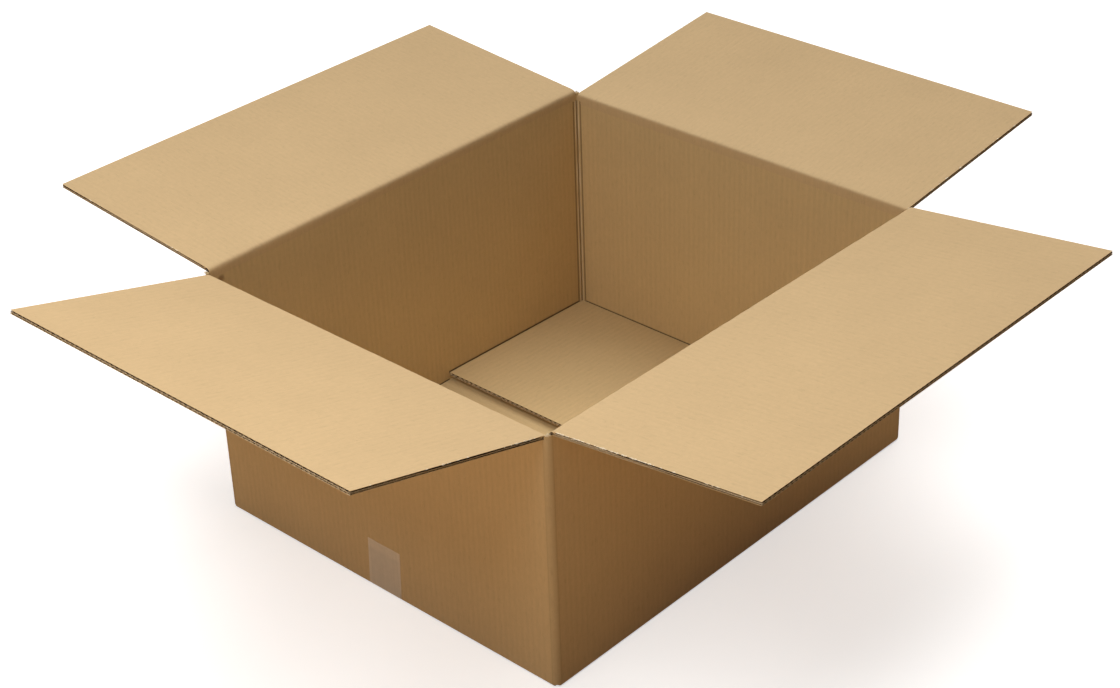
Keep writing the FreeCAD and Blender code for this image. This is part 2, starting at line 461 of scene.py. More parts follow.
def kraft_material(name, run, panel=None, painted_shade_mask=None):
    """Matt unbleached kraft paper. run says which way flutes are counted, and the last argument where the
    painted shade of the flute tunnels goes.
    """
    material, tree, shader = paper_material(name)
    tone, specks, pale, height, place, normal = kraft_pattern(tree, run)
    kraft = tuple(colours().kraft)
    if run == "WALLS":
        # Painted shade on the walls: darker folds, foot and inner contact lines
        tone = times(tree, tone, painted_wall_shade(tree, place))
        kraft = blended(tree, inside_mask(tree, place), kraft, tuple(colours().lining))
    colour = toned(tree, kraft, tone)
    colour = blended(tree, times(tree, specks, 0.38), colour, SPECK_COLOUR)
    colour = blended(tree, times(tree, pale, 0.20), colour, PALE_FIBRE_COLOUR)
    if panel:
        # Painted shade of the flute tunnels, where the mask says
        colour = blended(tree, painted_shade_mask(tree, place, normal, panel), colour, tuple(colours().tunnel_shade))
    if run == "WALLS":
        # Painted shade of the score grooves, then the real brown stain
        lines = times(tree, score_shade_lines(tree, place), 0.22)
        colour = stained(tree, blended(tree, lines, colour, SCORE_SHADE_COLOUR))
    finish(tree, shader, colour, height, 0.86)
    return material


def panel_place(tree, panel):
    """A point's place along a panel's crease and away from it."""
    coordinates = add_node(tree, "ShaderNodeTexCoord").outputs["Object"]
    feeds = {0: coordinates, 1: tuple(panel.pivot)}
    offset = add_node(tree, "ShaderNodeVectorMath", feeds, operation="SUBTRACT").outputs[0]
    values = []
    for axis in (panel.across, panel.along):
        dot = add_node(tree, "ShaderNodeVectorMath", {0: offset, 1: tuple(axis)}, operation="DOT_PRODUCT")
        values.append(dot.outputs["Value"])
    return values


def medium_material(name, panel):
    """Fluted paper: brown where it was cut, and painted shade a little way inside the board."""
    material, tree, shader = paper_material(name)
    across, along = panel_place(tree, panel)
    from_side = minus(tree, panel.half_span, size_of(tree, across))
    from_end = minus(tree, panel.depth, along)
    inset = maths(tree, "MINIMUM", from_side, from_end)
    # Painted shade: the medium darkens to the tunnel colour from 0.1 to 0.5 mm in from the cut edge
    depth = ramp(tree, inset, 0.1 * MILLIMETRE, 0.5 * MILLIMETRE)
    colour = blended(tree, depth, tuple(colours().medium), tuple(colours().tunnel_shade))
    tree.links.new(colour, shader.inputs["Base Color"])
    shader.inputs["Roughness"].default_value = 0.95
    return material


def fold_shade_material(name):
    """Inner liner buckled beside a vertical fold, with painted shade in the groove and painted highlights on
    the ridges.
    """
    material, tree, shader = paper_material(name)
    tone, _, _, height, place, _ = kraft_pattern(tree, "X")
    from_end = minus(tree, body_half.x - BOARD_THICKNESS, size_of(tree, place[0]))
    from_side = minus(tree, body_half.y - BOARD_THICKNESS, size_of(tree, place[1]))
    far = larger(tree, from_end, from_side)
    near = maths(tree, "MINIMUM", from_end, from_side)
    wider = ramp(tree, place[2], 200 * MILLIMETRE, body_half.z, 0.0, 0.9 * MILLIMETRE)
    reach = minus(tree, far, wider)
    # Painted shade in the groove of the inner corner, wider towards the top
    groove = ramp(tree, reach, 1.6 * MILLIMETRE, 2.3 * MILLIMETRE, 0.45, 0.0)
    # Painted shade on the far slope of each ridge
    shoulder_shade = ramp(tree, far, 4.4 * MILLIMETRE, 5.4 * MILLIMETRE, 0.0, 0.6)
    # Painted highlight on the ridge crests, in the pale torn-fibre colour
    crest_highlight = ramp(tree, near, 0.5 * MILLIMETRE, 1.0 * MILLIMETRE, 0.0, 0.45)
    colour = toned(tree, tuple(colours().lining), tone)
    colour = blended(tree, crest_highlight, colour, tuple(colours().torn))
    colour = blended(tree, larger(tree, groove, shoulder_shade), colour, PAINTED_GROOVE_SHADE)
    finish(tree, shader, colour, height, 0.86)
    return material


def fibre_material(name, colour, contrast):
    """Rough torn or fluted paper with a fibrous tone."""
    material, tree, shader = paper_material(name)
    coordinates = add_node(tree, "ShaderNodeTexCoord")
    fuzz = cloud(tree, coordinates.outputs["Object"], 900.0, 3.0, 0.65)
    dark = tuple(value * (1 - contrast) for value in colour)
    light = tuple(min(1.0, value * (1 + contrast)) for value in colour)
    share = ramp(tree, fuzz, 0.3, 0.7)
    height = times(tree, fuzz, 0.08 * MILLIMETRE)
    finish(tree, shader, blended(tree, share, dark, light), height, 0.95)
    return material


def tape_material(name):
    """Clear film over kraft: paler than the board, smoother, with lines along its run."""
    material, tree, shader = paper_material(name)
    coordinates = add_node(tree, "ShaderNodeTexCoord")
    place = add_node(tree, "ShaderNodeSeparateXYZ", {0: coordinates.outputs["Object"]})
    x, y, z = place.outputs
    low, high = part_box("bottom_tape")
    draw = cloud(
        tree,
        joined_vector(tree, times(tree, y, 420.0), times(tree, z, 20.0), x),
        1.0,
        2.0,
    )
    bubbles = cloud(tree, coordinates.outputs["Object"], 130.0, 3.0, 0.6)
    top = ramp(tree, z, high.z - 14.0 * MILLIMETRE, high.z - 9.0 * MILLIMETRE)
    rim = ramp(tree, z, high.z - 2.0 * MILLIMETRE, high.z - 0.8 * MILLIMETRE)
    middle = (low.y + high.y) / 2
    side = size_of(tree, minus(tree, y, middle))
    side = ramp(tree, side, 21.0 * MILLIMETRE, 24.5 * MILLIMETRE)
    tone = maths(tree, "MULTIPLY_ADD", minus(tree, draw, 0.5), 0.14, 1.0)
    tone = maths(tree, "MULTIPLY_ADD", minus(tree, bubbles, 0.5), 0.16, tone)
    for share, amount in ((top, 0.10), (rim, 0.10), (side, 0.12)):
        tone = maths(tree, "MULTIPLY_ADD", share, amount, tone)
    shader.inputs["Specular IOR Level"].default_value = 0.4
    height = times(tree, draw, 0.03 * MILLIMETRE)
    finish(tree, shader, toned(tree, tuple(colours().film), tone), height, 0.42)
    return material


def floor_material(name):
    """White to the camera and in reflections, and a warm tone to the light that it bounces."""
    material, tree, shader = paper_material(name)
    seen = seen_directly(tree)
    colour = blended(tree, seen, tuple(colours().bounce), tuple(colours().floor))
    tree.links.new(colour, shader.inputs["Base Color"])
    shader.inputs["Emission Color"].default_value = (1.0, 1.0, 1.0, 1.0)
    glow = times(tree, seen, studio().floor_glow)
    tree.links.new(glow, shader.inputs["Emission Strength"])
    shader.inputs["Roughness"].default_value = 0.9
    shader.inputs["Specular IOR Level"].default_value = 0.0
    return material


# Panels and meshes


class Panel:
    """A flat sheet of board hinged on a crease.

    across runs along the crease, along runs from it to the free edge, and up
    points from the outer liner to the inner one."""

    def __init__(self, pivot, across, along):
        self.pivot = pivot
        self.across = across
        self.along = along
        self.up = across.cross(along)
        self.matrix = Matrix((self.across, self.along, self.up)).transposed().to_4x4()
        self.matrix.translation = pivot

    def at(self, across, along, up):
        return self.matrix @ Vector((across, along, up))

    def measure(self, node):
        """Take the panel's size from its CAD node."""
        back = self.matrix.inverted()
        points = [back @ vertex.co for vertex in frame["nodes"][node].data.vertices]
        self.half_span = max(abs(point.x) for point in points)
        self.depth = max(point.y for point in points)
        self.thickness = max(point.z for point in points)


def flap_panel(joint):
    """The open top flap on a joint, in its rest pose. The joint closes it level inwards."""
    across = Vector(joint["axis"])
    out = UP.cross(across)
    rise = math.pi - math.radians(joint["range_deg"][1])
    along = out * math.cos(rise) + UP * math.sin(rise)
    panel = Panel(Vector(joint["pos_m"]), across, along)
    panel.out = out
    panel.body = joint["child"]
    panel.node = "flap_" + joint["child"]
    panel.run = "X" if abs(across.x) > 0.5 else "Y"
    panel.measure(panel.node)
    return panel


def inner_bottom_panel(side, lift):
    """An inner bottom flap, with side -1 at the left end wall and 1 at the right one."""
    top_flap = PANELS["right"]
    inward = Vector((-side, 0, 0))
    lift = math.radians(lift)
    along = inward * math.cos(lift) + UP * math.sin(lift)
    thickness = top_flap.thickness
    pivot = Vector((side * (body_half.x - thickness), 0, thickness + INNER_FLAP_GAP))
    panel = Panel(pivot, Vector((0, side, 0)), along)
    panel.half_span = top_flap.half_span
    panel.depth = INNER_FLAP_DEPTH
    panel.thickness = thickness
    panel.body = "carton"
    return panel


PANELS = {joint["child"]: flap_panel(joint) for joint in frame["joints"]}
BOARD_THICKNESS = PANELS["left"].thickness


def new_object(name, mesh, material):
    piece = bpy.data.objects.new(name, mesh)
    bpy.context.scene.collection.objects.link(piece)
    mesh.materials.clear()
    mesh.materials.append(material)
    return piece


def mesh_of(shape, name, sharp=40.0):
    """Turn a bmesh into a smooth-shaded mesh with sharp edges past the given angle."""
    bmesh.ops.remove_doubles(shape, verts=shape.verts, dist=1e-6)
    bmesh.ops.recalc_face_normals(shape, faces=shape.faces)
    for face in shape.faces:
        face.smooth = True
    for edge in shape.edges:
        if len(edge.link_faces) == 2 and edge.calc_face_angle(0.0) > math.radians(sharp):
            edge.smooth = False
    mesh = bpy.data.meshes.new(name)
    shape.to_mesh(mesh)
    shape.free()
    return mesh


def swept(shape, rings):
    """Close a row of equal rings of points into a solid with flat ends."""
    loops = [[shape.verts.new(point) for point in ring] for ring in rings]
    count = len(loops[0])
    for first, second in zip(loops, loops[1:]):
        for index in range(count):
            following = (index + 1) % count
            shape.faces.new((first[index], first[following], second[following], second[index]))
    for loop in (loops[0], loops[-1]):
        shape.faces.new(loop)


# Geometry Nodes: the fluted paper that shows in the cut edges


def flute_tree():
    """Three strips of fluted paper, one behind each cut edge of a panel."""
    tree = bpy.data.node_groups.new("flute_rows", "GeometryNodeTree")
    names = (
        "Half Span", "Depth", "Root", "End Recess", "Side Recess",
        "Pitch", "Swing", "Height", "Slant", "Phase", "Crush",
    )
    tree.interface.new_socket("Geometry", in_out="OUTPUT", socket_type="NodeSocketGeometry")
    for name in names:
        tree.interface.new_socket(name, in_out="INPUT", socket_type="NodeSocketFloat")
    tree.interface.new_socket("Material", in_out="INPUT", socket_type="NodeSocketMaterial")
    given = add_node(tree, "NodeGroupInput").outputs
    span = times(tree, given["Half Span"], 2.0)
    waves = maths(tree, "DIVIDE", span, given["Pitch"])
    columns = maths(tree, "ROUND", times(tree, waves, 12.0))
    end_grid = add_node(
        tree,
        "GeometryNodeMeshGrid",
        {"Size X": span, "Size Y": given["End Recess"], "Vertices X": columns, "Vertices Y": 3},
    )
    end_middle = maths(tree, "MULTIPLY_ADD", given["End Recess"], -0.5, given["Depth"])
    end_place = joined_vector(tree, 0.0, end_middle)
    end_strip = add_node(
        tree, "GeometryNodeTransform", {"Geometry": end_grid.outputs[0], "Translation": end_place}
    )
    reach = minus(tree, given["Depth"], given["End Recess"])
    side_length = minus(tree, reach, given["Root"])
    side_grid = add_node(
        tree,
        "GeometryNodeMeshGrid",
        {"Size X": given["Side Recess"], "Size Y": side_length, "Vertices X": 5, "Vertices Y": 110},
    )
    side_middle = times(tree, maths(tree, "ADD", reach, given["Root"]), 0.5)
    strips = add_node(tree, "GeometryNodeJoinGeometry")
    tree.links.new(end_strip.outputs[0], strips.inputs[0])
    for side in (-1.0, 1.0):
        middle = maths(tree, "MULTIPLY_ADD", given["Side Recess"], -0.5, given["Half Span"])
        place = joined_vector(tree, times(tree, middle, side), side_middle)
        moved = add_node(
            tree, "GeometryNodeTransform", {"Geometry": side_grid.outputs[0], "Translation": place}
        )
        tree.links.new(moved.outputs[0], strips.inputs[0])
    position = add_node(tree, "GeometryNodeInputPosition").outputs[0]
    place = add_node(tree, "ShaderNodeSeparateXYZ", {0: position})
    slanted = maths(tree, "MULTIPLY_ADD", place.outputs[1], given["Slant"], place.outputs[0])
    turns = maths(tree, "DIVIDE", slanted, given["Pitch"])
    angle = maths(tree, "MULTIPLY_ADD", turns, 2 * math.pi, given["Phase"])
    uneven = cloud(tree, position, 38.0, 1.0)
    angle = maths(tree, "MULTIPLY_ADD", uneven, 1.6, angle)
    spot = joined_vector(tree, place.outputs[0], place.outputs[1], given["Phase"])
    crushed = ramp(tree, cloud(tree, spot, 26.0, 1.0), 0.55, 0.75)
    keep = minus(tree, 1.0, times(tree, crushed, given["Crush"]))
    swing = times(tree, given["Swing"], keep)
    rise = maths(tree, "MULTIPLY_ADD", maths(tree, "SINE", angle), swing, given["Height"])
    waved = add_node(
        tree,
        "GeometryNodeSetPosition",
        {"Geometry": strips.outputs[0], "Offset": joined_vector(tree, 0.0, 0.0, rise)},
    )
    smooth = add_node(tree, "GeometryNodeSetShadeSmooth", {"Geometry": waved.outputs[0]})
    real = add_node(tree, "GeometryNodeRealizeInstances", {"Geometry": smooth.outputs[0]})
    painted = add_node(
        tree, "GeometryNodeSetMaterial", {"Geometry": real.outputs[0], "Material": given["Material"]}
    )
    output = add_node(tree, "NodeGroupOutput")
    tree.links.new(painted.outputs[0], output.inputs[0])
    return tree


def made_by(tree, values, thickness=0.0):
    """Run a node tree by itself and return the plain mesh that it makes."""
    holder = bpy.data.objects.new("maker", bpy.data.meshes.new("maker"))
    bpy.context.scene.collection.objects.link(holder)
    maker = holder.modifiers.new("nodes", "NODES")
    maker.node_group = tree
    for socket in tree.interface.items_tree:
        if socket.in_out == "INPUT" and socket.name in values:
            maker[socket.identifier] = values[socket.name]
    if thickness:
        wall = holder.modifiers.new("wall", "SOLIDIFY")
        wall.thickness = thickness
        wall.offset = 0.0
    evaluated = holder.evaluated_get(bpy.context.evaluated_depsgraph_get())
    mesh = bpy.data.meshes.new_from_object(evaluated)
    bpy.data.objects.remove(holder)
    return mesh


def flute_rows(tree, panel, name, material, root, seed):
    """Both layers of fluted paper in the cut edges of one panel, as one mesh."""
    sizes = board()
    outer_middle = sizes.outer_liner + sizes.outer_flute / 2
    inner_middle = sizes.outer_liner + sizes.outer_flute + sizes.middle_liner + sizes.inner_flute / 2
    layers = (
        (sizes.outer_pitch, sizes.outer_flute, outer_middle, 0.55),
        (sizes.inner_pitch, sizes.inner_flute, inner_middle, 0.15),
    )
    shape = bmesh.new()
    for index, (pitch, height, middle, crush) in enumerate(layers):
        values = {
            "Half Span": panel.half_span - 0.1 * MILLIMETRE,
            "Depth": panel.depth - 0.1 * MILLIMETRE,
            "Root": root,
            "End Recess": sizes.end_recess,
            "Side Recess": sizes.side_recess,
            "Pitch": pitch,
            "Swing": (height - sizes.medium) / 2,
            "Height": middle,
            "Slant": sizes.slant * (1 if index else -0.8),
            "Phase": seed * 1.7 + index * 2.1,
            "Crush": crush,
            "Material": material,
        }
        mesh = made_by(tree, values, sizes.medium)
        shape.from_mesh(mesh)
        bpy.data.meshes.remove(mesh)
    bmesh.ops.transform(shape, matrix=panel.matrix, verts=shape.verts)
    piece = new_object(name, mesh_of(shape, name, 50.0), material)
    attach(piece, panel.body)
    return piece


# Mesh pieces: creases, corner folds and torn paper


def crease_section(panel):
    """Outline of a fold as points (inward, height) from the crease, filled from the liner to it."""
    thickness = panel.thickness
    overlap = board().fold_overlap
    proud = 0.06 * MILLIMETRE
    sunk = 0.5 * MILLIMETRE
    rise = math.asin(panel.along.z)

    def on_flap(along, up):
        inward = up * math.sin(rise) - along * math.cos(rise)
        return Vector((inward, up * math.cos(rise) + along * math.sin(rise)))

    top = thickness + proud
    flap_start = on_flap(thickness + 0.5 * MILLIMETRE, top)
    wall_end = Vector((top, -thickness))
    corner = Vector((top, (top - top * math.sin(rise)) / math.cos(rise)))
    weight = FOLD_FULLNESS[panel.body]
    outer = [Vector((top - 2 * proud, -thickness - overlap)), Vector((top, -thickness - overlap / 2))]
    steps = 18
    for step in range(steps + 1):
        share = step / steps
        parts = ((1 - share) ** 2, 2 * weight * share * (1 - share), share ** 2)
        total = sum(parts)
        outer.append((wall_end * parts[0] + corner * parts[1] + flap_start * parts[2]) / total)
    outer.append(on_flap(thickness + overlap / 2, top))
    outer.append(on_flap(thickness + overlap, top - 2 * proud))
    inner = [
        on_flap(thickness + overlap, top - sunk),
        on_flap(thickness + sunk, top - 2 * sunk),
        on_flap(sunk, 0.0),
        Vector((sunk, -2 * sunk)),
        Vector((thickness - sunk, -thickness - sunk)),
        Vector((thickness - sunk, -thickness - overlap)),
    ]
    return outer, inner


def crease_piece(panel, material, seed):
    """A fold from a wall over the crease onto its open flap, with the board crushed inside it."""
    outer, inner = crease_section(panel)
    half_span = panel.half_span - 0.1 * MILLIMETRE
    columns = int(2 * half_span / (2.6 * MILLIMETRE))
    shape = bmesh.new()
    rings = []
    inward = -panel.out
    bend_reach = 1.5 * panel.thickness
    for column in range(columns + 1):
        across = half_span * (2 * column / columns - 1)
        ring = []
        for moves, points in ((1, outer), (0, inner)):
            for x, y in points:
                place = panel.pivot + panel.across * across + inward * x + UP * y
                near = max(0.0, 1 - Vector((x - panel.thickness / 2, y)).length / bend_reach)
                wave = noise.noise(Vector((across * 60, x * 90, y * 90 + seed * 7)))
                push = moves * 0.5 * MILLIMETRE * wave * near
                ring.append(place + (inward + UP).normalized() * push)
        rings.append(ring)
    swept(shape, rings)
    name = "crease_" + panel.body
    piece = new_object(name, mesh_of(shape, name, 60.0), material)
    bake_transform(piece)
    return piece


def corner_profile(distance, height):
    """A ridge beside the inner corner: how far the paper stands off the wall at this distance."""
    peak = 3.0 * MILLIMETRE
    spread = 1.25 * MILLIMETRE
    ridge = math.exp(-(((distance - peak) / spread) ** 2))
    return height * ridge


def inner_corner(side_x, side_y, foot, top):
    """The buckled inner liner along one inner vertical fold."""
    half_length = body_half.x - BOARD_THICKNESS
    half_width = body_half.y - BOARD_THICKNESS
    corner = Vector((side_x * half_length, side_y * half_width, 0))
    along_x = Vector((-side_x, 0, 0))
    along_y = Vector((0, -side_y, 0))
    distances = [8.0, 6.5, 5.2, 4.3, 3.6, 3.0, 2.4, 1.9, 1.5]
    levels = 90
    shape = bmesh.new()
    rings = []
    for level in range(levels + 1):
        z = foot + (top - foot) * level / levels
        seed = Vector((side_x * 3.0, side_y * 5.0, z * 28))
        wander = noise.noise(seed) * 0.5 * MILLIMETRE
        height = (1.0 + 0.45 * noise.noise(seed + Vector((9, 0, 0)))) * MILLIMETRE
        ring = []
        for distance in distances:
            d = distance * MILLIMETRE
            lift = corner_profile(d + wander, height) + (0.10 if distance < 8 else -0.06) * MILLIMETRE
            ring.append(corner + along_x * d + along_y * lift + UP * z)
        groove = 0.55 * MILLIMETRE
        ring.append(corner + along_x * groove + along_y * groove + UP * z)
        for distance in reversed(distances):
            d = distance * MILLIMETRE
            lift = corner_profile(d - wander, height * 0.8) + (0.10 if distance < 8 else -0.06) * MILLIMETRE
            ring.append(corner + along_y * d + along_x * lift + UP * z)
        buried = 0.5 * MILLIMETRE
        ring.append(corner + along_y * 6.0 * MILLIMETRE - along_x * buried + UP * z)
        ring.append(corner - (along_x + along_y) * buried + UP * z)
        ring.append(corner + along_x * 6.0 * MILLIMETRE - along_y * buried + UP * z)
        rings.append(ring)
    swept(shape, rings)
    return shape


def cut_edges(panel, root):
    """The three cut edges of a panel, as rows of (across, along) with their outward direction."""
    step = 1.3 * MILLIMETRE
    inset = 0.05 * MILLIMETRE
    edge = panel.half_span - inset
    end = panel.depth - inset
    rows = []
    for side in (-1, 1):
        count = int((end - root) / step)
        row = [(side * edge, root + (end - root) * index / count) for index in range(count + 1)]
        rows.append((row, (side, 0)))
    count = int(2 * edge / step)
    rows.append(([(edge * (2 * index / count - 1), end) for index in range(count + 1)], (0, 1)))
    return rows


def edge_ledges(panel, root, seed):
    """Crushed paper that stands out from the middle and outer liners along the cut edges.

    Where a flute's paper touches its liner the ledge is taller, so its top follows the pitch."""
    sizes = board()
    middle = sizes.outer_liner + sizes.outer_flute
    inner_top = 0.62 * MILLIMETRE
    shape = bmesh.new()
    for row, outward in cut_edges(panel, root):
        at_side = outward[0] != 0
        outer_top = (0.45 if at_side else 0.62) * MILLIMETRE
        outer_swing = (0.15 if at_side else 0.4) * MILLIMETRE
        layers = (
            (middle, middle + inner_top, sizes.inner_pitch, 0.22 * MILLIMETRE),
            (0.02 * MILLIMETRE, outer_top, sizes.outer_pitch, outer_swing),
        )
        for layer, (low, high, pitch, swing) in enumerate(layers):
            rings = []
            for across, along in row:
                run = along if at_side else across
                spot = Vector((across * 210, along * 210, seed * 3 + layer * 11))
                ragged = noise.noise(spot) + 0.5 * noise.noise(spot * 3.1)
                wave = 0.0 if at_side else math.sin(2 * math.pi * run / pitch + seed + layer)
                top = high + swing * (0.6 * wave + 0.7 * ragged)
                top = max(top, low + 0.2 * MILLIMETRE)
                reach = (0.55 + 0.2 * ragged) * MILLIMETRE
                back = (across - outward[0] * reach, along - outward[1] * reach)
                rings.append([
                    panel.at(across, along, low),
                    panel.at(across, along, low + 0.12 * MILLIMETRE),
                    panel.at(*back, top),
                    panel.at(*back, low),
                ])
            swept(shape, rings)
    return shape


def torn_bits(shape, panel, side, count, start, end, chooser):
    """Bits of inner liner torn up along one side edge of a flap and curling over it."""
    edge = side * (panel.half_span + 0.05 * MILLIMETRE)
    top = panel.thickness
    steps = 6
    for _ in range(count):
        foot = chooser.uniform(start, end)
        width = chooser.uniform(1.2, 5.0) * MILLIMETRE
        reach = chooser.uniform(0.5, 1.7) * MILLIMETRE
        drop = chooser.uniform(0.1, 1.2) * MILLIMETRE
        rise = chooser.uniform(0.10, 0.40) * MILLIMETRE
        rings = []
        for step in range(steps + 1):
            along = foot + width * step / steps
            share = math.sin(math.pi * (step + 0.5) / (steps + 1)) * chooser.uniform(0.6, 1.0)
            rings.append([
                panel.at(edge - side * reach * share, along, top + 0.02 * MILLIMETRE),
                panel.at(edge - side * 0.35 * reach * share, along, top + rise * share),
                panel.at(edge + side * 0.2 * MILLIMETRE * share, along, top - drop * share),
                panel.at(edge - side * 0.2 * MILLIMETRE, along, top - 0.8 * drop * share - 0.05 * MILLIMETRE),
            ])
        swept(shape, rings)


def tuft_tree():
    """Short bent fibres scattered in a small box of space."""
    tree = bpy.data.node_groups.new("fibre_tuft", "GeometryNodeTree")
    tree.interface.new_socket("Geometry", in_out="OUTPUT", socket_type="NodeSocketGeometry")
    for name in ("Length", "Thickness", "Size X", "Size Y"):
        tree.interface.new_socket(name, in_out="INPUT", socket_type="NodeSocketFloat")
    tree.interface.new_socket("Count", in_out="INPUT", socket_type="NodeSocketInt")
    tree.interface.new_socket("Seed", in_out="INPUT", socket_type="NodeSocketInt")
    tree.interface.new_socket("Material", in_out="INPUT", socket_type="NodeSocketMaterial")
    given = add_node(tree, "NodeGroupInput").outputs
    line = add_node(tree, "GeometryNodeMeshLine", {"Count": given["Count"]})
    low, high = (
        joined_vector(tree, times(tree, given["Size X"], half), times(tree, given["Size Y"], half))
        for half in (-0.5, 0.5)
    )
    spot = add_node(tree, "FunctionNodeRandomValue", data_type="FLOAT_VECTOR")
    tree.links.new(low, spot.inputs[0])
    tree.links.new(high, spot.inputs[1])
    tree.links.new(given["Seed"], spot.inputs["Seed"])
    spread = add_node(
        tree, "GeometryNodeSetPosition", {"Geometry": line.outputs[0], "Position": spot.outputs[0]}
    )
    bend = add_node(tree, "GeometryNodeCurvePrimitiveBezierSegment", {"Resolution": 5})
    bend.inputs["Start"].default_value = (0, 0, 0)
    end = joined_vector(tree, times(tree, given["Length"], 0.45), 0.0, given["Length"])
    handle = joined_vector(tree, 0.0, 0.0, times(tree, given["Length"], 0.6))
    tree.links.new(handle, bend.inputs["Start Handle"])
    tree.links.new(handle, bend.inputs["End Handle"])
    tree.links.new(end, bend.inputs["End"])
    profile = add_node(tree, "GeometryNodeCurvePrimitiveCircle", {"Resolution": 4})
    tree.links.new(given["Thickness"], profile.inputs["Radius"])
    strand = add_node(
        tree,
        "GeometryNodeCurveToMesh",
        {"Curve": bend.outputs[0], "Profile Curve": profile.outputs[0], "Fill Caps": True},
    )
    turn = add_node(tree, "FunctionNodeRandomValue", data_type="FLOAT_VECTOR")
    turn.inputs[0].default_value = (-0.9, -0.9, 0.0)
    turn.inputs[1].default_value = (0.9, 0.9, 6.283)
    tree.links.new(given["Seed"], turn.inputs["Seed"])
    size = add_node(tree, "FunctionNodeRandomValue", data_type="FLOAT")
    size.inputs[2].default_value = 0.4
    size.inputs[3].default_value = 1.0
    tree.links.new(given["Seed"], size.inputs["Seed"])
    copies = add_node(
        tree,
        "GeometryNodeInstanceOnPoints",
        {
            "Points": spread.outputs[0],
            "Instance": strand.outputs[0],
            "Rotation": turn.outputs[0],
            "Scale": size.outputs[1],
        },
    )
    real = add_node(tree, "GeometryNodeRealizeInstances", {"Geometry": copies.outputs[0]})
    painted = add_node(
        tree, "GeometryNodeSetMaterial", {"Geometry": real.outputs[0], "Material": given["Material"]}
    )
    output = add_node(tree, "NodeGroupOutput")
    tree.links.new(painted.outputs[0], output.inputs[0])
    return tree


# Operators: one for each piece or group of like pieces, and one for the stage


class CARTON_OT_papers(bpy.types.Operator):
    """Give every CAD node its paper or film."""

    bl_idname = "carton.papers"
    bl_label = "Papers and tape"

    def execute(self, context):
        finishes = {"carton_body": kraft_material("kraft_walls", "WALLS")}
        finishes["bottom_tape"] = tape_material("tape_film")
        for panel in PANELS.values():
            finishes[panel.node] = kraft_material("kraft_" + panel.body, panel.run, panel, tunnel_shade_mask)
            # The crease materials paint shade in the flute layers at the crease ends
            kraft_material("kraft_crease_" + panel.body, panel.run, panel, fold_layer_shade)
        for node, material in finishes.items():
            mesh = frame["nodes"][node].data
            mesh.materials.clear()
            mesh.materials.append(material)
        fold_shade_material("kraft_fold")
        fibre_material("crushed_liner", tuple(colours().crushed), 0.5)
        fibre_material("torn_fibre", tuple(colours().torn), 0.12)
        return {"FINISHED"}


class CARTON_OT_flutes(bpy.types.Operator):
    """Show the two rows of flutes and the crushed liners in the cut edges of all the flaps but the
    outer bottom ones."""

    bl_idname = "carton.flutes"
    bl_label = "Flutes"

    def execute(self, context):
        tree = flute_tree()
        crushed = bpy.data.materials["crushed_liner"]
        rows = [(panel, "", panel.body, panel.thickness + 1.0 * MILLIMETRE) for panel in PANELS.values()]
        for name, side, lift in (("left", -1, LEFT_INNER_LIFT), ("right", 1, RIGHT_INNER_LIFT)):
            rows.append((inner_bottom_panel(side, lift), "bottom_", name, 2.0 * MILLIMETRE))
        for seed, (panel, place, name, root) in enumerate(rows):
            title = place + name
            flute_rows(tree, panel, "flutes_" + title, medium_material("medium_" + title, panel), root, seed)
            shape = edge_ledges(panel, root, seed)
            ledges = "cut_liner_" + title
            piece = new_object(ledges, mesh_of(shape, ledges, 35.0), crushed)
            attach(piece, panel.body)
        return {"FINISHED"}


class CARTON_OT_creases(bpy.types.Operator):
    """Bend the inner liner over the four top creases."""

    bl_idname = "carton.creases"
    bl_label = "Top creases"

    def execute(self, context):
        for seed, panel in enumerate(PANELS.values()):
            crease_piece(panel, bpy.data.materials["kraft_crease_" + panel.body], seed)
        return {"FINISHED"}


class CARTON_OT_corners(bpy.types.Operator):
    """Buckle the inner liner along the four inner vertical folds."""

    bl_idname = "carton.corners"
    bl_label = "Inner corners"

    def execute(self, context):
        floor_top = 2 * BOARD_THICKNESS
        top = PANELS["left"].pivot.z - BOARD_THICKNESS - 0.3 * MILLIMETRE
        for name, side_x, side_y in (
            ("front_left", -1, -1), ("front_right", 1, -1), ("back_left", -1, 1), ("back_right", 1, 1),
        ):
            shape = inner_corner(side_x, side_y, floor_top, top)
            title = "corner_fold_" + name
            piece = new_object(title, mesh_of(shape, title, 60.0), bpy.data.materials["kraft_fold"])
            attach(piece, "carton")
        return {"FINISHED"}


class CARTON_OT_torn_paper(bpy.types.Operator):
    """Curl torn liner up along the flaps' side edges and stand loose fibres in the corner slots."""

    bl_idname = "carton.torn_paper"
    bl_label = "Torn paper"

    def execute(self, context):
        material = bpy.data.materials["torn_fibre"]
        for seed, panel in enumerate(PANELS.values()):
            chooser = random.Random(seed)
            shape = bmesh.new()
            for side, count, start, end in TEARS[panel.body]:
                torn_bits(shape, panel, side, count, start, end, chooser)
            name = "torn_liner_" + panel.body
            piece = new_object(name, mesh_of(shape, name, 40.0), material)
            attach(piece, panel.body)
        self.tufts(material)
        return {"FINISHED"}

    def tufts(self, material):
        tree = tuft_tree()
        low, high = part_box("carton_body")
        inset = BOARD_THICKNESS / 2
        shape = bmesh.new()
        for seed, (x, y) in enumerate(
            ((low.x + inset, low.y + inset), (high.x - inset, low.y + inset),
             (low.x + inset, high.y - inset), (high.x - inset, high.y - inset))
        ):
            values = {
                "Length": 2.6 * MILLIMETRE,
                "Thickness": 0.13 * MILLIMETRE,
                "Size X": 4.5 * MILLIMETRE,
                "Size Y": 4.5 * MILLIMETRE,
                "Count": 46,
                "Seed": seed,
                "Material": material,
            }
            mesh = made_by(tree, values)
            mesh.transform(Matrix.Translation((x, y, high.z - 0.3 * MILLIMETRE)))
            shape.from_mesh(mesh)
            bpy.data.meshes.remove(mesh)
        piece = new_object("slot_fibres", mesh_of(shape, "slot_fibres", 60.0), material)
        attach(piece, "carton")


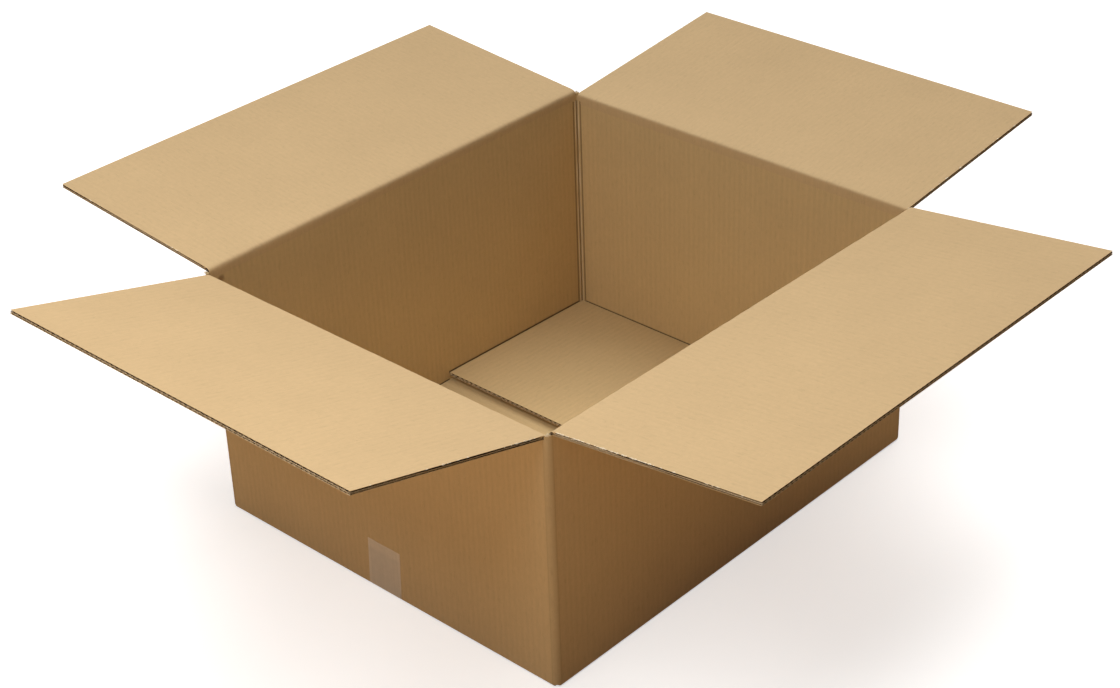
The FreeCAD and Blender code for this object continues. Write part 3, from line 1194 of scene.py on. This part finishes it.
class CARTON_OT_stage(bpy.types.Operator):
    """Build the floor, the sky, the lamps and the camera."""

    bl_idname = "carton.stage"
    bl_label = "Studio"

    def execute(self, context):
        self.floor()
        self.sky()
        self.lamps()
        self.camera()
        context.scene.view_settings.view_transform = "Standard"
        return {"FINISHED"}

    def floor(self):
        half = studio().floor_size / 2
        shape = bmesh.new()
        bmesh.ops.create_grid(shape, x_segments=4, y_segments=4, size=half)
        mesh = bpy.data.meshes.new("floor")
        shape.to_mesh(mesh)
        shape.free()
        mesh.transform(Matrix.Translation((0, 0, -0.4 * MILLIMETRE)))
        floor = new_object("floor", mesh, floor_material("studio_floor"))

    def sky(self):
        world = bpy.data.worlds.new("studio_sky")
        bpy.context.scene.world = world
        world.use_nodes = True
        tree = world.node_tree
        tree.nodes.clear()
        seen = seen_directly(tree)
        even = add_node(
            tree, "ShaderNodeBackground", {"Color": (1.0, 0.93, 0.84, 1.0), "Strength": studio().sky}
        )
        white = add_node(tree, "ShaderNodeBackground", {"Color": (1.0, 1.0, 1.0, 1.0), "Strength": 1.0})
        mix = add_node(tree, "ShaderNodeMixShader", {0: seen, 1: even.outputs[0], 2: white.outputs[0]})
        output = add_node(tree, "ShaderNodeOutputWorld")
        tree.links.new(mix.outputs[0], output.inputs[0])

    def lamps(self):
        """A wide light from behind on the right, a near one over the left end and a low one beside it."""
        overhead = self.lamp("overhead_light", "SUN", (0.9, 0.5, 2.0), (0.0, 0.0, 0.0), studio().overhead)
        overhead.angle = studio().spread
        middle = (0.0, 0.0, 0.2)
        key = self.lamp("key_light", "AREA", (-1.0, -0.12, 1.5), middle, studio().key_power)
        key.size = studio().key_size
        fill = self.lamp("fill_light", "AREA", (-2.3, -0.3, 0.28), middle, studio().fill_power)
        fill.size = studio().fill_size
        fill.color = (1.0, 0.9, 0.74)

    def lamp(self, name, kind, place, target, power):
        data = bpy.data.lights.new(name, kind)
        data.energy = power
        lamp = bpy.data.objects.new(name, data)
        bpy.context.scene.collection.objects.link(lamp)
        lamp.location = place
        aim = Vector(target) - Vector(place)
        lamp.rotation_euler = aim.to_track_quat("-Z", "Y").to_euler()
        return data

    def camera(self):
        data = bpy.data.cameras.new("camera")
        data.sensor_width = CAMERA_SENSOR
        data.lens = CAMERA_LENS
        data.clip_end = 50.0
        camera = bpy.data.objects.new("camera", data)
        bpy.context.scene.collection.objects.link(camera)
        right = Vector(CAMERA_RIGHT)
        upward = -Vector(CAMERA_DOWN)
        backward = right.cross(upward)
        turn = Matrix((right, upward, backward)).transposed().to_4x4()
        camera.matrix_world = Matrix.Translation(CAMERA_PLACE) @ turn
        bpy.context.scene.camera = camera


class CARTON_PT_panel(bpy.types.Panel):
    """Lists the steps that dress the carton."""

    bl_label = "Carton"
    bl_idname = "CARTON_PT_panel"
    bl_space_type = "VIEW_3D"
    bl_region_type = "UI"
    bl_category = "Carton"

    def draw(self, context):
        for step in STEPS:
            self.layout.operator(step.bl_idname)
        for group in (board(), colours(), studio()):
            box = self.layout.box()
            for name in group.__annotations__:
                box.prop(group, name)


STEPS = (
    CARTON_OT_papers,
    CARTON_OT_flutes,
    CARTON_OT_creases,
    CARTON_OT_corners,
    CARTON_OT_torn_paper,
    CARTON_OT_stage,
)
CLASSES = (BoardSizes, PaperColours, StudioSettings, *STEPS, CARTON_PT_panel)


def register():
    for kind in CLASSES:
        bpy.utils.register_class(kind)
    bpy.types.Scene.carton_board = bpy.props.PointerProperty(type=BoardSizes)
    bpy.types.Scene.carton_colours = bpy.props.PointerProperty(type=PaperColours)
    bpy.types.Scene.carton_studio = bpy.props.PointerProperty(type=StudioSettings)


def unregister():
    del bpy.types.Scene.carton_studio
    del bpy.types.Scene.carton_colours
    del bpy.types.Scene.carton_board
    for kind in reversed(CLASSES):
        bpy.utils.unregister_class(kind)


def main():
    register()
    for step in STEPS:
        group, name = step.bl_idname.split(".")
        getattr(getattr(bpy.ops, group), name)()


if __name__ == "__main__":
    main()
